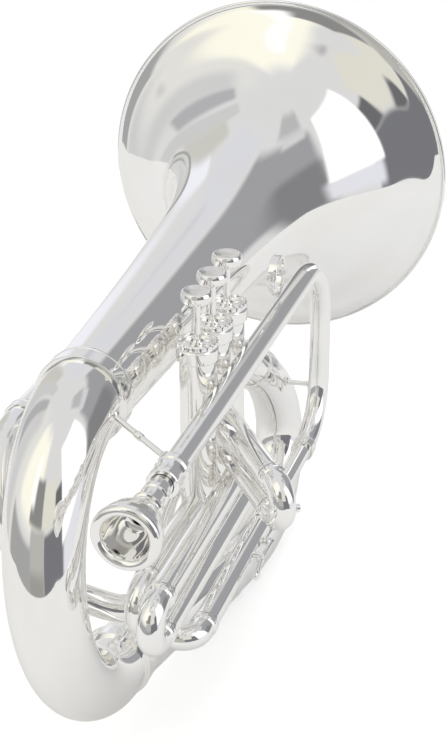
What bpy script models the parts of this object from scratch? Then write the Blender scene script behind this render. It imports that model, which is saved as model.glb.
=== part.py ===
"""A baritone horn in silver-plated brass, with three top-action piston valves.

The horn lies as it is played: +Y runs from the mouthpiece to the bell, +Z along the valves, +X to the
player's right. Shapes are given from the middle of the bell's rim, and one empty then puts the origin at
the middle of the base.
"""

import math

import bmesh
import bpy
from mathutils import Vector

# Places and lengths are in metres.
GAP = 0.0003

# The whole horn.
HALF_LENGTH = 0.2712
BELL_AXIS_HEIGHT = 0.2304

# Bell: radius at each distance behind the rim, for its flare and for the stem brazed on behind it.
BELL_WALL = 0.0006
BELL_JOINT_BACK, BELL_JOINT_RADIUS = 0.220, 0.036
FLARE_OUTLINE = (
    (0.0030, 0.1275), (0.010, 0.117), (0.022, 0.100), (0.040, 0.083), (0.065, 0.0675),
    (0.100, 0.054), (0.150, 0.043), (BELL_JOINT_BACK, BELL_JOINT_RADIUS),
)
STEM_OUTLINE = ((BELL_JOINT_BACK + GAP, BELL_JOINT_RADIUS), (0.300, 0.031), (0.4137, 0.0260))
RIM_BEAD_RADIUS = 0.0014
RIM_RADIUS = 0.1335

# Rear bow: half an ellipse from the bell's stem down to the lower branch.
BOW_TOP_Y = -0.4177
BOW_DEPTH = 0.081
BOW_DROP = 0.183
BOW_LEAN = 0.014
BOW_RADIUS_TOP, BOW_RADIUS_BOTTOM = 0.0262, 0.0213
BRANCH_WALL = 0.0006

# Conical run from the rear bow round the front bow and across to the valves.
CONE_ROUTE = (
    (0.014, -0.4137, -0.183), (0.023, -0.350, -0.190), (0.033, -0.275, -0.2035), (0.040, -0.205, -0.2118),
    (0.040, -0.150, -0.200), (0.0375, -0.123, -0.167), (0.0335, -0.128, -0.131), (0.0255, -0.147, -0.103),
    (0.008, -0.168, -0.083), (-0.019, -0.191, -0.063), (-0.036, -0.235, -0.039), (-0.041, -0.320, -0.026),
    (-0.041, -0.412, -0.0215),
)
CONE_STEPS = 3
CONE_TAPER = 1.4
CONE_RADIUS_WIDE, CONE_RADIUS_NARROW = 0.0212, 0.0095
FRONT_BOW_START, FRONT_BOW_END = 2, 7
CUFF_STEP = 0.0014

# Valve bow: from the conical run round inside the rear bow to the first valve.
VALVE_BOW_ROUTE = (
    (-0.041, -0.4125, -0.0215), (-0.041, -0.443, -0.028), (-0.034, -0.460, -0.055), (-0.025, -0.459, -0.089),
    (-0.013, -0.445, -0.115), (0.003, -0.433, -0.127), (0.019, -0.428, -0.1335), (0.031, -0.420, -0.1340),
    (0.033, -0.400, -0.125), (0.031, -0.381, -0.108), (0.032, -0.368, -0.088), (0.040, -0.3638, -0.076),
    (0.0525, -0.3638, -0.071),
)
VALVE_BOW_RADIUS_WIDE, VALVE_BOW_RADIUS_NARROW = 0.0095, 0.0078

# Cylindrical tubing: the outer radius of each kind, and the bore of a sleeve.
TUBE_RADIUS = 0.0075
TUBE_WALL = 0.0006
SLEEVE_RADIUS = 0.0076
SLEEVE_BORE = 0.0071
LEG_RADIUS = 0.0066
COLLAR_RADIUS = 0.0084
COLLAR_LENGTH = 0.005

# Leadpipe, front tuning bow and the leg below it.
LEAD_X, LEAD_Z = 0.0712, -0.0095
LEAD_BACK, LEAD_FRONT = -0.474, -0.190
TUNING_BOW_FRONT = -0.138
TOP_BEND, LOW_BEND = 0.048, 0.040
LOW_LEG_Z = -0.145
LOW_LEG_FRONT = -0.180
NECK_START, NECK_RADIUS = -0.295, 0.0064

# Main tuning slide: a flat bow behind the two low legs.
TUNING_INNER_X = 0.049
TUNING_BEND_Y = -0.420
TUNING_LEG_LENGTH = 0.085
ELBOW_RADIUS = 0.016
ELBOW_FRONT = -0.267
VALVE_INLET_Z = -0.096

# Valves, from the one next to the player.
VALVE_X = 0.0523
VALVE_Y = (-0.3638, -0.3340, -0.3042)
VALVE_NAMES = ("first", "second", "third")
CASING_TOP, CASING_BOTTOM = 0.008, -0.125
CASING_RADIUS, CASING_BORE = 0.0110, 0.0101
PISTON_RADIUS, PISTON_TOP, PISTON_BOTTOM = 0.0097, 0.0078, -0.0772
PISTON_WALL = 0.001
CAP_RADIUS, CAP_TOP = 0.0128, 0.021
BOTTOM_CAP_BOTTOM = -0.137
STEM_RADIUS = 0.0022
BUTTON_RADIUS, BUTTON_BOTTOM, BUTTON_TOP = 0.0095, 0.0445, 0.0524
SPRING_RADIUS, SPRING_WIRE, SPRING_TURNS = 0.0080, 0.0005, 4
SPRING_TOP, SPRING_BOTTOM = -0.0782, -0.1310

# Valve slides: bend centre, which way each pulls, half the spacing of its legs, and how far they reach.
FIRST_SLIDE_BEND = (0.0523, -0.465, -0.0995)
FIRST_SLIDE_HALF = 0.0115
FIRST_LEG_LENGTH = 0.070
THIRD_SLIDE_BEND = (0.0728, -0.500, -0.0855)
THIRD_SLIDE_HALF = 0.012
THIRD_LEG_LENGTH = 0.120
THIRD_ELBOW = 0.0208
SECOND_SLIDE_BEND = (0.1166, -0.418, -0.04675)
SECOND_SLIDE_HALF = 0.01075
SECOND_LEG_LENGTH = 0.070
SECOND_SLIDE_WAY = Vector((0.596, -0.803, 0.0)).normalized()
KNOB_DROP = 0.0075
SLIDE_COLLAR_BACK = 0.003

# Mouthpiece: its rim plane, and the outer and inner outlines as radius and distance from that plane.
MOUTHPIECE_RIM_Y = -0.5424
MOUTHPIECE_OUTSIDE = (
    (0.0170, 0.0), (0.0188, 0.0010), (0.01925, 0.0028), (0.0189, 0.0052), (0.0180, 0.0062), (0.0178, 0.009),
    (0.0168, 0.014), (0.0145, 0.020), (0.0112, 0.026), (0.0078, 0.0315), (0.0090, 0.0335), (0.0090, 0.0350),
    (0.0070, 0.0370), (0.0068, 0.0455), (0.0078, 0.0470), (0.0078, 0.0490), (0.0068, 0.0500),
    (0.0066, 0.0600), (0.0056, 0.0840),
)
MOUTHPIECE_INSIDE = (
    (0.0050, 0.0840), (0.0034, 0.0360), (0.0040, 0.0300), (0.0085, 0.0230), (0.0118, 0.0130),
    (0.0127, 0.0030), (0.0136, 0.0006), (0.0152, 0.0),
)

# Receiver that the mouthpiece's shank is pushed into.
RECEIVER_BACK, RECEIVER_FRONT = -0.4835, -0.4625

# Finger ring and braces.
FINGER_RING_CENTRE = (0.067, -0.243, 0.0155)
FINGER_RING_RADIUS = 0.0115
BRACE_RADIUS = 0.002
FLANGE_RADIUS = 0.0036

X_AXIS, Y_AXIS, Z_AXIS = Vector((1, 0, 0)), Vector((0, 1, 0)), Vector((0, 0, 1))


def clear_scene():
    for obj in list(bpy.data.objects):
        bpy.data.objects.remove(obj, do_unlink=True)


def metal(name, color, roughness, metallic):
    material = bpy.data.materials.new(name)
    material.use_nodes = True
    shader = material.node_tree.nodes["Principled BSDF"]
    shader.inputs["Base Color"].default_value = (*color, 1.0)
    shader.inputs["Roughness"].default_value = roughness
    shader.inputs["Metallic"].default_value = metallic
    material.diffuse_color = (*color, 1.0)
    return material


def collection_named(name):
    made = bpy.data.collections.new(name)
    bpy.context.scene.collection.children.link(made)
    return made


def add_object(name, data, tone, origin=(0, 0, 0)):
    """An object of the horn, with its origin at `origin` and a material of its own."""
    color, roughness, metallic = TONES[tone]
    data.materials.append(metal(name, color, roughness, metallic))
    obj = bpy.data.objects.new(name, data)
    obj.location = origin
    obj.parent = horn_frame
    horn.objects.link(obj)
    return obj


def smooth_route(points, steps):
    """Catmull-Rom points through the given ones, with `steps` to each stretch."""
    known = [Vector(point) for point in points]
    known = [2 * known[0] - known[1], *known, 2 * known[-1] - known[-2]]
    route = []
    for before, start, end, after in zip(known, known[1:], known[2:], known[3:]):
        for step in range(steps):
            t = step / steps
            route.append(
                0.5 * (
                    2 * start
                    + (end - before) * t
                    + (2 * before - 5 * start + 4 * end - after) * t**2
                    + (3 * start - before - 3 * end + after) * t**3
                )
            )
    route.append(known[-2])
    return route


def bend(centre, toward, onward, radius, steps, degrees=180):
    """Points of an arc that starts on the `toward` side of its centre and turns to `onward`."""
    angles = [math.radians(degrees) * step / steps for step in range(steps + 1)]
    return [Vector(centre) + radius * (math.cos(a) * toward + math.sin(a) * onward) for a in angles]


def tapered(count, wide, narrow, power=1.0):
    return [wide + (narrow - wide) * (index / (count - 1)) ** power for index in range(count)]


def squared_ends(route, start_way=None, end_way=None, stub=0.004):
    """The route with a short straight run at each end, so that its end faces stand square to the joint."""
    start_way = (start_way or (route[1] - route[0])).normalized()
    end_way = (end_way or (route[-1] - route[-2])).normalized()
    return [route[0], route[0] + stub * start_way, *route[1:-1], route[-1] - stub * end_way, route[-1]]


def tube(name, route, radii, tone="silver", wall=None, sides=10, origin=(0, 0, 0)):
    """A tube along a route, open at both ends with the given wall, or a solid rod where wall is None."""
    curve = bpy.data.curves.new(name, "CURVE")
    curve.dimensions = "3D"
    curve.fill_mode = "FULL"
    curve.bevel_depth = 0.001
    curve.bevel_resolution = (sides - 4) // 2
    curve.use_fill_caps = wall is None
    spline = curve.splines.new("POLY")
    spline.points.add(len(route) - 1)
    if not isinstance(radii, (list, tuple)):
        radii = [radii] * len(route)
    for point, place, radius in zip(spline.points, route, radii):
        point.co = (*(Vector(place) - Vector(origin)), 1.0)
        point.radius = radius / curve.bevel_depth
    obj = add_object(name, curve, tone, origin)
    if wall is not None:
        shell = obj.modifiers.new("Wall", "SOLIDIFY")
        shell.thickness = wall
        shell.offset = -1
    return obj


def turned(name, outline, origin, way=Z_AXIS, tone="silver", steps=16):
    """A turned piece from (radius, height) points that run down its outside and back up its bore."""
    mesh = bpy.data.meshes.new(name)
    work = bmesh.new()
    points = [work.verts.new((radius, 0, height)) for radius, height in outline]
    for start, end in zip(points, points[1:]):
        work.edges.new((start, end))
    if outline[0][0] > 0:
        work.edges.new((points[-1], points[0]))
    work.to_mesh(mesh)
    work.free()
    obj = add_object(name, mesh, tone, origin)
    obj.rotation_mode = "QUATERNION"
    obj.rotation_quaternion = Vector(way).to_track_quat("Z", "Y")
    screw = obj.modifiers.new("Turn", "SCREW")
    screw.axis = "Z"
    screw.steps = steps
    screw.render_steps = steps
    screw.use_merge_vertices = True
    screw.merge_threshold = 0.00001
    screw.use_smooth_shade = True
    return obj


def ring(name, centre, way, inner, outer, length):
    """A plain ferrule with softened ends, centred on a joint."""
    half, soft = length / 2, (outer - inner) * 0.4
    outline = (
        (outer - soft, half), (outer, half - soft), (outer, soft - half), (outer - soft, -half),
        (inner, -half), (inner, half),
    )
    return turned(name, outline, centre, way)


def as_mesh(curve_object):
    """The finished shape of a curve as a mesh object, which a Boolean can cut."""
    name = curve_object.name
    bpy.context.view_layer.update()
    graph = bpy.context.evaluated_depsgraph_get()
    mesh = bpy.data.meshes.new_from_object(curve_object.evaluated_get(graph))
    work = bmesh.new()
    work.from_mesh(mesh)
    bmesh.ops.remove_doubles(work, verts=work.verts, dist=1e-6)
    bmesh.ops.recalc_face_normals(work, faces=work.faces)
    work.to_mesh(mesh)
    work.free()
    place, parent = curve_object.matrix_world.copy(), curve_object.parent
    bpy.data.objects.remove(curve_object, do_unlink=True)
    obj = bpy.data.objects.new(name, mesh)
    horn.objects.link(obj)
    obj.parent = parent
    obj.matrix_world = place
    return obj


def combine(obj, other, operation):
    joined = obj.modifiers.new(operation.title(), "BOOLEAN")
    joined.operation = operation
    joined.solver = "EXACT"
    joined.object = other
    return obj


def helper(name, mesh_maker, origin):
    """A hidden shape that a Boolean cuts with or adds."""
    mesh = bpy.data.meshes.new(name)
    work = bmesh.new()
    mesh_maker(work)
    work.to_mesh(mesh)
    work.free()
    obj = bpy.data.objects.new(name, mesh)
    obj.location = origin
    obj.parent = horn_frame
    obj.hide_render = True
    obj.display_type = "WIRE"
    helpers.objects.link(obj)
    return obj


def casing_cutter(index):
    """The space that a valve casing fills, with the gap that a tube keeps to it."""
    radius, height = CASING_RADIUS + GAP, CASING_TOP - CASING_BOTTOM

    def cylinder(work):
        bmesh.ops.create_cone(
            work, cap_ends=True, segments=24, radius1=radius, radius2=radius, depth=height
        )

    middle = (VALVE_X, VALVE_Y[index], (CASING_TOP + CASING_BOTTOM) / 2)
    return helper(f"{VALVE_NAMES[index]}_casing_space", cylinder, middle)


def bell_wall(outline):
    """The outside of a length of the bell from front to back, and its inside from back to front."""
    outside = [(radius, -back) for back, radius in outline]
    inside = [(radius - BELL_WALL, -back) for back, radius in outline]
    return [*outside, *reversed(inside)]


def make_bell():
    centre = RIM_RADIUS - RIM_BEAD_RADIUS
    front = math.sin(math.radians(60))
    bead = [
        (centre + RIM_BEAD_RADIUS * math.cos(a), RIM_BEAD_RADIUS * (math.sin(a) - front))
        for a in (math.radians(degrees) for degrees in (120, 60, 0, -70))
    ]
    turned("bell_flare", [*bead, *bell_wall(FLARE_OUTLINE)], (0, 0, 0), Y_AXIS, steps=28)
    turned("bell_stem", bell_wall(STEM_OUTLINE), (0, 0, 0), Y_AXIS, steps=28)


def make_rear_bow():
    count = 11
    route, radii = [], []
    for index in range(count):
        angle = math.pi * index / (count - 1)
        fall = (1 - math.cos(angle)) / 2
        route.append(Vector((BOW_LEAN * fall, BOW_TOP_Y - BOW_DEPTH * math.sin(angle), -BOW_DROP * fall)))
        radii.append(BOW_RADIUS_TOP + (BOW_RADIUS_BOTTOM - BOW_RADIUS_TOP) * (index / (count - 1)) ** 0.6)
    route = [route[0] + 0.0035 * Y_AXIS, *route, route[-1] + 0.0035 * Y_AXIS]
    radii = [radii[0], *radii, radii[-1]]
    tube("rear_bow", route, radii, wall=BRANCH_WALL, sides=12)
    ring("bell_ferrule", (0, -0.4140, 0), Y_AXIS, 0.0272, 0.0284, 0.014)
    ring("rear_bow_ferrule", (BOW_LEAN, -0.4140, -BOW_DROP), Y_AXIS, 0.0226, 0.0237, 0.009)


def make_cone_run():
    """The lower branch, front bow and crossover branch: one taper, parted at two joints. The front bow's
    narrow end is opened out into a cuff."""
    route = smooth_route(CONE_ROUTE, CONE_STEPS)
    radii = tapered(len(route), CONE_RADIUS_WIDE, CONE_RADIUS_NARROW, CONE_TAPER)
    first, second = FRONT_BOW_START * CONE_STEPS, FRONT_BOW_END * CONE_STEPS
    spans = (
        ("lower_branch", 0, first),
        ("front_bow", first, second),
        ("crossover_branch", second, len(route) - 1),
    )
    for name, start, end in spans:
        start_way = Y_AXIS if start == 0 else route[start + 1] - route[start - 1]
        end_way = -Y_AXIS if end == len(route) - 1 else route[end + 1] - route[end - 1]
        part = list(route[start:end + 1])
        part[0] = part[0] + GAP * start_way.normalized()
        part[-1] = part[-1] - GAP * end_way.normalized()
        part = squared_ends(part, start_way, end_way)
        sizes = [radii[start], *radii[start:end + 1], radii[end]]
        if name == "front_bow":
            sizes[-2:] = [radii[end] + CUFF_STEP] * 2
            part.insert(-2, part[-2] - GAP * end_way.normalized())
            sizes.insert(-2, radii[end])
        tube(name, part, sizes, wall=BRANCH_WALL)


def make_valve_bow(cutters):
    route = smooth_route(VALVE_BOW_ROUTE, 2)
    radii = tapered(len(route), VALVE_BOW_RADIUS_WIDE, VALVE_BOW_RADIUS_NARROW)
    route = squared_ends(route, -Y_AXIS, X_AXIS, 0.002)
    radii = [radii[0], *radii, radii[-1]]
    bow = as_mesh(tube("valve_bow", route, radii, wall=TUBE_WALL, sides=8))
    combine(bow, cutters[0], "DIFFERENCE")
    ring("valve_bow_ferrule", (-0.041, -0.4120, -0.0215), Y_AXIS, 0.0103, 0.0112, 0.008)


def make_leadpipe():
    tube(
        "leadpipe", [(LEAD_X, LEAD_BACK, LEAD_Z), (LEAD_X, LEAD_FRONT - GAP, LEAD_Z)], TUBE_RADIUS,
        wall=TUBE_WALL,
    )
    top_centre = Vector((LEAD_X, TUNING_BOW_FRONT - TOP_BEND, LEAD_Z - TOP_BEND))
    low_centre = Vector((LEAD_X, TUNING_BOW_FRONT - LOW_BEND, LOW_LEG_Z + LOW_BEND))
    route = [
        Vector((LEAD_X, LEAD_FRONT, LEAD_Z)),
        *bend(top_centre, Z_AXIS, Y_AXIS, TOP_BEND, 4, 90),
        *bend(low_centre, Y_AXIS, -Z_AXIS, LOW_BEND, 4, 90),
        Vector((LEAD_X, LOW_LEG_FRONT + GAP, LOW_LEG_Z)),
    ]
    tube("tuning_bow", route, TUBE_RADIUS, wall=TUBE_WALL)
    bore, seat = 0.0071, 0.0079
    step = LEAD_BACK - GAP - RECEIVER_FRONT
    length = RECEIVER_BACK - RECEIVER_FRONT
    outline = (
        (0.0094, 0.0), (0.0100, -0.001), (0.0100, -0.006), (0.0088, -0.007),
        (0.0086, 0.005 + length), (0.0094, 0.004 + length), (0.0094, 0.0008 + length), (0.0088, length),
        (bore, length), (bore, step), (seat, step), (seat, 0.0),
    )
    turned("mouthpiece_receiver", outline, (LEAD_X, RECEIVER_FRONT, LEAD_Z), Y_AXIS)


def make_mouthpiece():
    outline = [(radius, -back) for radius, back in (*MOUTHPIECE_OUTSIDE, *MOUTHPIECE_INSIDE)]
    turned("mouthpiece", outline, (LEAD_X, MOUTHPIECE_RIM_Y, LEAD_Z), -Y_AXIS, steps=20)


def slide_crook(name, centre, way, side, half, leg_length):
    """A slide: two thin legs, a collar on each, and the bow that joins them. It pulls out along `way`."""
    centre, edge = Vector(centre), SLIDE_COLLAR_BACK
    end = edge + COLLAR_LENGTH
    leg = [
        (leg_length, LEG_RADIUS), (end + 0.0002, LEG_RADIUS), (end, COLLAR_RADIUS),
        (edge + 0.0003, COLLAR_RADIUS), (edge, SLEEVE_RADIUS),
    ]
    first = [centre + half * side - back * way for back, _ in leg]
    last = [centre - half * side - back * way for back, _ in reversed(leg)]
    arc = bend(centre, side, way, half, 5)
    radii = [radius for _, radius in leg]
    radii = [*radii, *[SLEEVE_RADIUS] * (len(arc) - 2), *reversed(radii)]
    tube(name, [*first, *arc[1:-1], *last], radii, wall=TUBE_WALL, origin=centre)


def sleeve(name, mouth, way, length, extra=(), cutter=None, neck=SLEEVE_RADIUS):
    """A fixed outer tube of a slide. `mouth` is its open end, `way` leads inward, `extra` are its last points,
    and `neck` is its radius there."""
    mouth = Vector(mouth)
    route = [mouth, mouth + 0.003 * way, mouth + 0.0032 * way, mouth + length * way, *extra]
    radii = [SLEEVE_RADIUS + 0.0005] * 2 + [SLEEVE_RADIUS] * 2 + [neck] * len(extra)
    obj = tube(name, route, radii, wall=SLEEVE_RADIUS - SLEEVE_BORE)
    if cutter is not None:
        combine(as_mesh(obj), cutter, "DIFFERENCE")


def make_tuning_slide(cutters):
    mouth_y = TUNING_BEND_Y + SLIDE_COLLAR_BACK + COLLAR_LENGTH + 2 * GAP
    centre = ((LEAD_X + TUNING_INNER_X) / 2, TUNING_BEND_Y, LOW_LEG_Z)
    half = (LEAD_X - TUNING_INNER_X) / 2
    slide_crook("main_tuning_slide", centre, -Y_AXIS, X_AXIS, half, TUNING_LEG_LENGTH)
    neck = [Vector((LEAD_X, y, LOW_LEG_Z)) for y in (NECK_START + 0.004, LOW_LEG_FRONT)]
    outer_mouth = (LEAD_X, mouth_y, LOW_LEG_Z)
    sleeve("tuning_outer_sleeve", outer_mouth, Y_AXIS, NECK_START - mouth_y, neck, None, NECK_RADIUS)
    bend_y = ELBOW_FRONT - ELBOW_RADIUS
    low = Vector((TUNING_INNER_X, bend_y, LOW_LEG_Z + ELBOW_RADIUS))
    high = Vector((TUNING_INNER_X, bend_y, VALVE_INLET_Z - ELBOW_RADIUS))
    elbows = [*bend(low, -Z_AXIS, Y_AXIS, ELBOW_RADIUS, 3, 90), *bend(high, Y_AXIS, Z_AXIS, ELBOW_RADIUS, 3, 90)]
    inside_valve = Vector((TUNING_INNER_X, VALVE_Y[2], VALVE_INLET_Z))
    inner_mouth = (TUNING_INNER_X, mouth_y, LOW_LEG_Z)
    length = bend_y - 0.002 - mouth_y
    sleeve("tuning_inner_sleeve", inner_mouth, Y_AXIS, length, [*elbows, inside_valve], cutters[2])


def make_valve_slides(cutters):
    back = SLIDE_COLLAR_BACK + COLLAR_LENGTH + 2 * GAP
    sides = (("upper", Z_AXIS), ("lower", -Z_AXIS))

    first = Vector(FIRST_SLIDE_BEND)
    slide_crook("first_valve_slide", first, -Y_AXIS, Z_AXIS, FIRST_SLIDE_HALF, FIRST_LEG_LENGTH)
    for word, side in sides:
        mouth = first + FIRST_SLIDE_HALF * side + back * Y_AXIS
        sleeve(f"first_{word}_sleeve", mouth, Y_AXIS, VALVE_Y[0] - mouth.y, (), cutters[0])

    second = Vector(SECOND_SLIDE_BEND)
    way = SECOND_SLIDE_WAY
    slide_crook("second_valve_slide", second, way, Z_AXIS, SECOND_SLIDE_HALF, SECOND_LEG_LENGTH)
    for word, side in sides:
        mouth = second + SECOND_SLIDE_HALF * side - back * way
        sleeve(f"second_{word}_sleeve", mouth, -way, 0.104 - back, (), cutters[1])

    third = Vector(THIRD_SLIDE_BEND)
    slide_crook("third_valve_slide", third, -Y_AXIS, Z_AXIS, THIRD_SLIDE_HALF, THIRD_LEG_LENGTH)
    for word, side in sides:
        mouth = third + THIRD_SLIDE_HALF * side + back * Y_AXIS
        bend_y = VALVE_Y[2] - THIRD_ELBOW
        centre = (third.x - THIRD_ELBOW, bend_y, mouth.z)
        elbow = bend(centre, X_AXIS, Y_AXIS, THIRD_ELBOW, 4, 90)
        sleeve(f"third_{word}_sleeve", mouth, Y_AXIS, bend_y - 0.003 - mouth.y, elbow, cutters[2])


def make_knuckles(cutters):
    """The short tubes between neighbouring casings."""
    for index, height in ((0, -0.085), (1, -0.060)):
        start = (VALVE_X, VALVE_Y[index], height)
        end = (VALVE_X, VALVE_Y[index + 1], height)
        name = f"{VALVE_NAMES[index]}_to_{VALVE_NAMES[index + 1]}_knuckle"
        knuckle = as_mesh(tube(name, [start, end], TUBE_RADIUS))
        combine(knuckle, cutters[index], "DIFFERENCE")
        combine(knuckle, cutters[index + 1], "DIFFERENCE")


def make_valve(index):
    name, spot = VALVE_NAMES[index], (VALVE_X, VALVE_Y[index], 0)
    casing = (
        (CASING_RADIUS, CASING_TOP), (CASING_RADIUS, CASING_BOTTOM),
        (CASING_BORE, CASING_BOTTOM), (CASING_BORE, CASING_TOP),
    )
    turned(f"{name}_valve_casing", casing, spot, steps=20)

    web_low, web_high, hole = 0.0125, 0.0150, 0.0034
    top_cap = (
        (CAP_RADIUS - 0.0008, CAP_TOP), (CAP_RADIUS, CAP_TOP - 0.001), (CAP_RADIUS, 0.0172),
        (CAP_RADIUS - 0.001, 0.0166), (CAP_RADIUS, 0.0158), (CAP_RADIUS, CASING_TOP + GAP),
        (0.0090, CASING_TOP + GAP), (0.0090, web_low), (hole, web_low), (hole, 0.0172),
        (0.0055, 0.0168), (0.0058, web_high), (0.0098, web_high), (0.0104, CAP_TOP - 0.0004),
    )
    turned(f"{name}_valve_top_cap", top_cap, spot)

    bottom = BOTTOM_CAP_BOTTOM
    bottom_cap = (
        (0.0108, CASING_BOTTOM - GAP), (0.0118, CASING_BOTTOM - 0.0012), (0.0118, bottom + 0.004),
        (0.0100, bottom + 0.002), (0.0030, bottom + 0.002), (0.0022, bottom), (0.0, bottom),
        (0.0, bottom + 0.0052), (0.0092, bottom + 0.0052), (0.0092, CASING_BOTTOM - GAP),
    )
    turned(f"{name}_valve_bottom_cap", bottom_cap, spot, steps=14)

    crown = PISTON_TOP - 0.002
    piston = (
        (0.0, PISTON_TOP), (PISTON_RADIUS, PISTON_TOP), (PISTON_RADIUS, PISTON_BOTTOM),
        (PISTON_RADIUS - PISTON_WALL, PISTON_BOTTOM), (PISTON_RADIUS - PISTON_WALL, crown), (0.0, crown),
    )
    turned(f"{name}_piston", piston, spot)

    stem = (
        (0.0, BUTTON_BOTTOM - GAP), (STEM_RADIUS, BUTTON_BOTTOM - GAP), (STEM_RADIUS, 0.0220),
        (0.0030, 0.0200), (0.0030, PISTON_TOP + GAP), (0.0, PISTON_TOP + GAP),
    )
    turned(f"{name}_valve_stem", stem, spot, steps=12)

    felt = ((0.0085, 0.0120), (0.0085, 0.0084), (0.0034, 0.0084), (0.0034, 0.0120))
    turned(f"{name}_valve_felt", felt, spot, tone="felt", steps=12)

    button = (
        (0.0, BUTTON_TOP - 0.0010), (0.0060, BUTTON_TOP - 0.0007), (0.0080, BUTTON_TOP),
        (0.0091, BUTTON_TOP - 0.0008), (BUTTON_RADIUS, BUTTON_TOP - 0.0022),
        (BUTTON_RADIUS, BUTTON_BOTTOM + 0.0020), (0.0088, BUTTON_BOTTOM + 0.0007),
        (0.0076, BUTTON_BOTTOM), (0.0, BUTTON_BOTTOM),
    )
    turned(f"{name}_finger_button", button, spot, steps=14)
    make_spring(f"{name}_valve_spring", VALVE_Y[index])


def make_spring(name, y):
    steps = 7
    count = SPRING_TURNS * steps + 1
    route = []
    for index in range(count):
        angle = 2 * math.pi * index / steps
        height = SPRING_TOP + (SPRING_BOTTOM - SPRING_TOP) * index / (count - 1)
        spoke = SPRING_RADIUS * Vector((math.cos(angle), math.sin(angle), 0))
        route.append(Vector((VALVE_X, y, height)) + spoke)
    tube(name, route, SPRING_WIRE, "steel", sides=4, origin=(VALVE_X, y, SPRING_BOTTOM))


def rod_with_flanges(name, start, end, sides=8):
    """A brace: a thin rod with a small round flange soldered on at each end."""
    start, end = Vector(start), Vector(end)
    way = (end - start).normalized()
    plate = 0.0009
    route = [start, start + plate * way, start + (plate + 0.0004) * way]
    route += [end - (plate + 0.0004) * way, end - plate * way, end]
    radii = [FLANGE_RADIUS, FLANGE_RADIUS, BRACE_RADIUS, BRACE_RADIUS, FLANGE_RADIUS, FLANGE_RADIUS]
    tube(name, route, radii, sides=sides)


def make_braces():
    rod_with_flanges("leadpipe_brace", (0.0625, -0.4570, -0.0065), (0.0268, -0.4352, 0.0008))
    rod_with_flanges("tuning_bow_brace", (0.0634, -0.1390, -0.1140), (0.0476, -0.1385, -0.1148))


def make_finger_ring():
    centre = Vector(FINGER_RING_CENTRE)
    half_width, thick = 0.0026, 0.0016
    outer, inner = FINGER_RING_RADIUS + thick / 2, FINGER_RING_RADIUS - thick / 2
    outline = (
        (outer - 0.0004, half_width), (outer, half_width - 0.0006), (outer, 0.0006 - half_width),
        (outer - 0.0004, -half_width), (inner, -half_width), (inner, half_width),
    )
    obj = turned("finger_ring", outline, centre, X_AXIS, steps=20)

    def foot(work):
        bmesh.ops.create_cube(work, size=1)
        bmesh.ops.scale(work, vec=(0.0046, 0.0080, 0.0050), verts=work.verts)

    combine(obj, helper("finger_ring_foot", foot, centre - Vector((0, 0, 0.0136))), "UNION")


def make_water_key(name, place, across, touch_at, pivot_at, drain_at):
    """A lever that closes a drain hole in the tubing, and the saddle that holds it.

    `place` gives the point at a distance along the tubing and a height over its skin, `across` is the
    hinge's axis, and the rest are distances along the tubing.
    """
    strip, nipple, post, arm = 0.0008, 0.0026, 0.0030, 0.0052
    half = 0.0024
    step = half if drain_at > pivot_at else -half
    edge = (
        (pivot_at - step, strip), (pivot_at - step / 2, post), (pivot_at + step / 2, post),
        (pivot_at + step, strip), (drain_at - 1.1 * step, strip), (drain_at - step, nipple),
        (drain_at + step, nipple), (drain_at + step, 0), (drain_at - step, 0),
        ((drain_at + pivot_at) / 2, 0), (pivot_at - step, 0),
    )
    mesh = bpy.data.meshes.new(f"{name}_saddle")
    work = bmesh.new()
    face = work.faces.new([work.verts.new(place(along, high + GAP) - half * across) for along, high in edge])
    grown = bmesh.ops.extrude_face_region(work, geom=[face])["geom"]
    corners = [item for item in grown if isinstance(item, bmesh.types.BMVert)]
    bmesh.ops.translate(work, verts=corners, vec=2 * half * across)
    bmesh.ops.recalc_face_normals(work, faces=work.faces)
    work.to_mesh(mesh)
    work.free()
    add_object(f"{name}_saddle", mesh, "silver")

    route = [
        place(drain_at, nipple + 2 * GAP), place(drain_at, nipple + 0.0014), place(drain_at, nipple + 0.0017),
        place(drain_at - 0.3 * step, arm), place(pivot_at + 1.2 * step, arm), place(pivot_at, arm),
        place(pivot_at - 1.2 * step, arm), place((pivot_at + touch_at) / 2, arm + 0.0008),
        place(touch_at + step, arm + 0.0022), place(touch_at, arm + 0.0026),
    ]
    radii = [0.0024, 0.0024, 0.0012, 0.0012, 0.0011, 0.0017, 0.0011, 0.0011, 0.0014, 0.0021]
    tube(name, route, radii, sides=6, origin=place(pivot_at, arm))


def make_water_keys():
    centre = Vector((LEAD_X, TUNING_BOW_FRONT - LOW_BEND, LOW_LEG_Z + LOW_BEND))
    skin = LOW_BEND + TUBE_RADIUS

    def round_the_bow(along, high):
        angle = along / skin
        return centre + (skin + high) * Vector((0, math.cos(angle), -math.sin(angle)))

    def beside_the_leg(along, high):
        return Vector((LEAD_X + SLEEVE_RADIUS + high, along, LOW_LEG_Z))

    make_water_key("bow_water_key", round_the_bow, X_AXIS, -0.006, 0.014, 0.034)
    make_water_key("leg_water_key", beside_the_leg, Z_AXIS, -0.352, -0.332, -0.312)


def make_pull_knob():
    """A knob that stands out sideways from the second slide's bow."""
    side = SECOND_SLIDE_WAY.cross(Z_AXIS) * -1
    base = Vector(SECOND_SLIDE_BEND) + 0.002 * SECOND_SLIDE_WAY - KNOB_DROP * Z_AXIS + (SLEEVE_RADIUS + GAP) * side
    reach = (0.0, 0.0008, 0.0014, 0.0028, 0.0038, 0.0056, 0.0064)
    radii = [0.0022, 0.0022, 0.0012, 0.0012, 0.0024, 0.0024, 0.0014]
    tube("second_slide_pull_knob", [base + out * side for out in reach], radii, sides=8)


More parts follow.
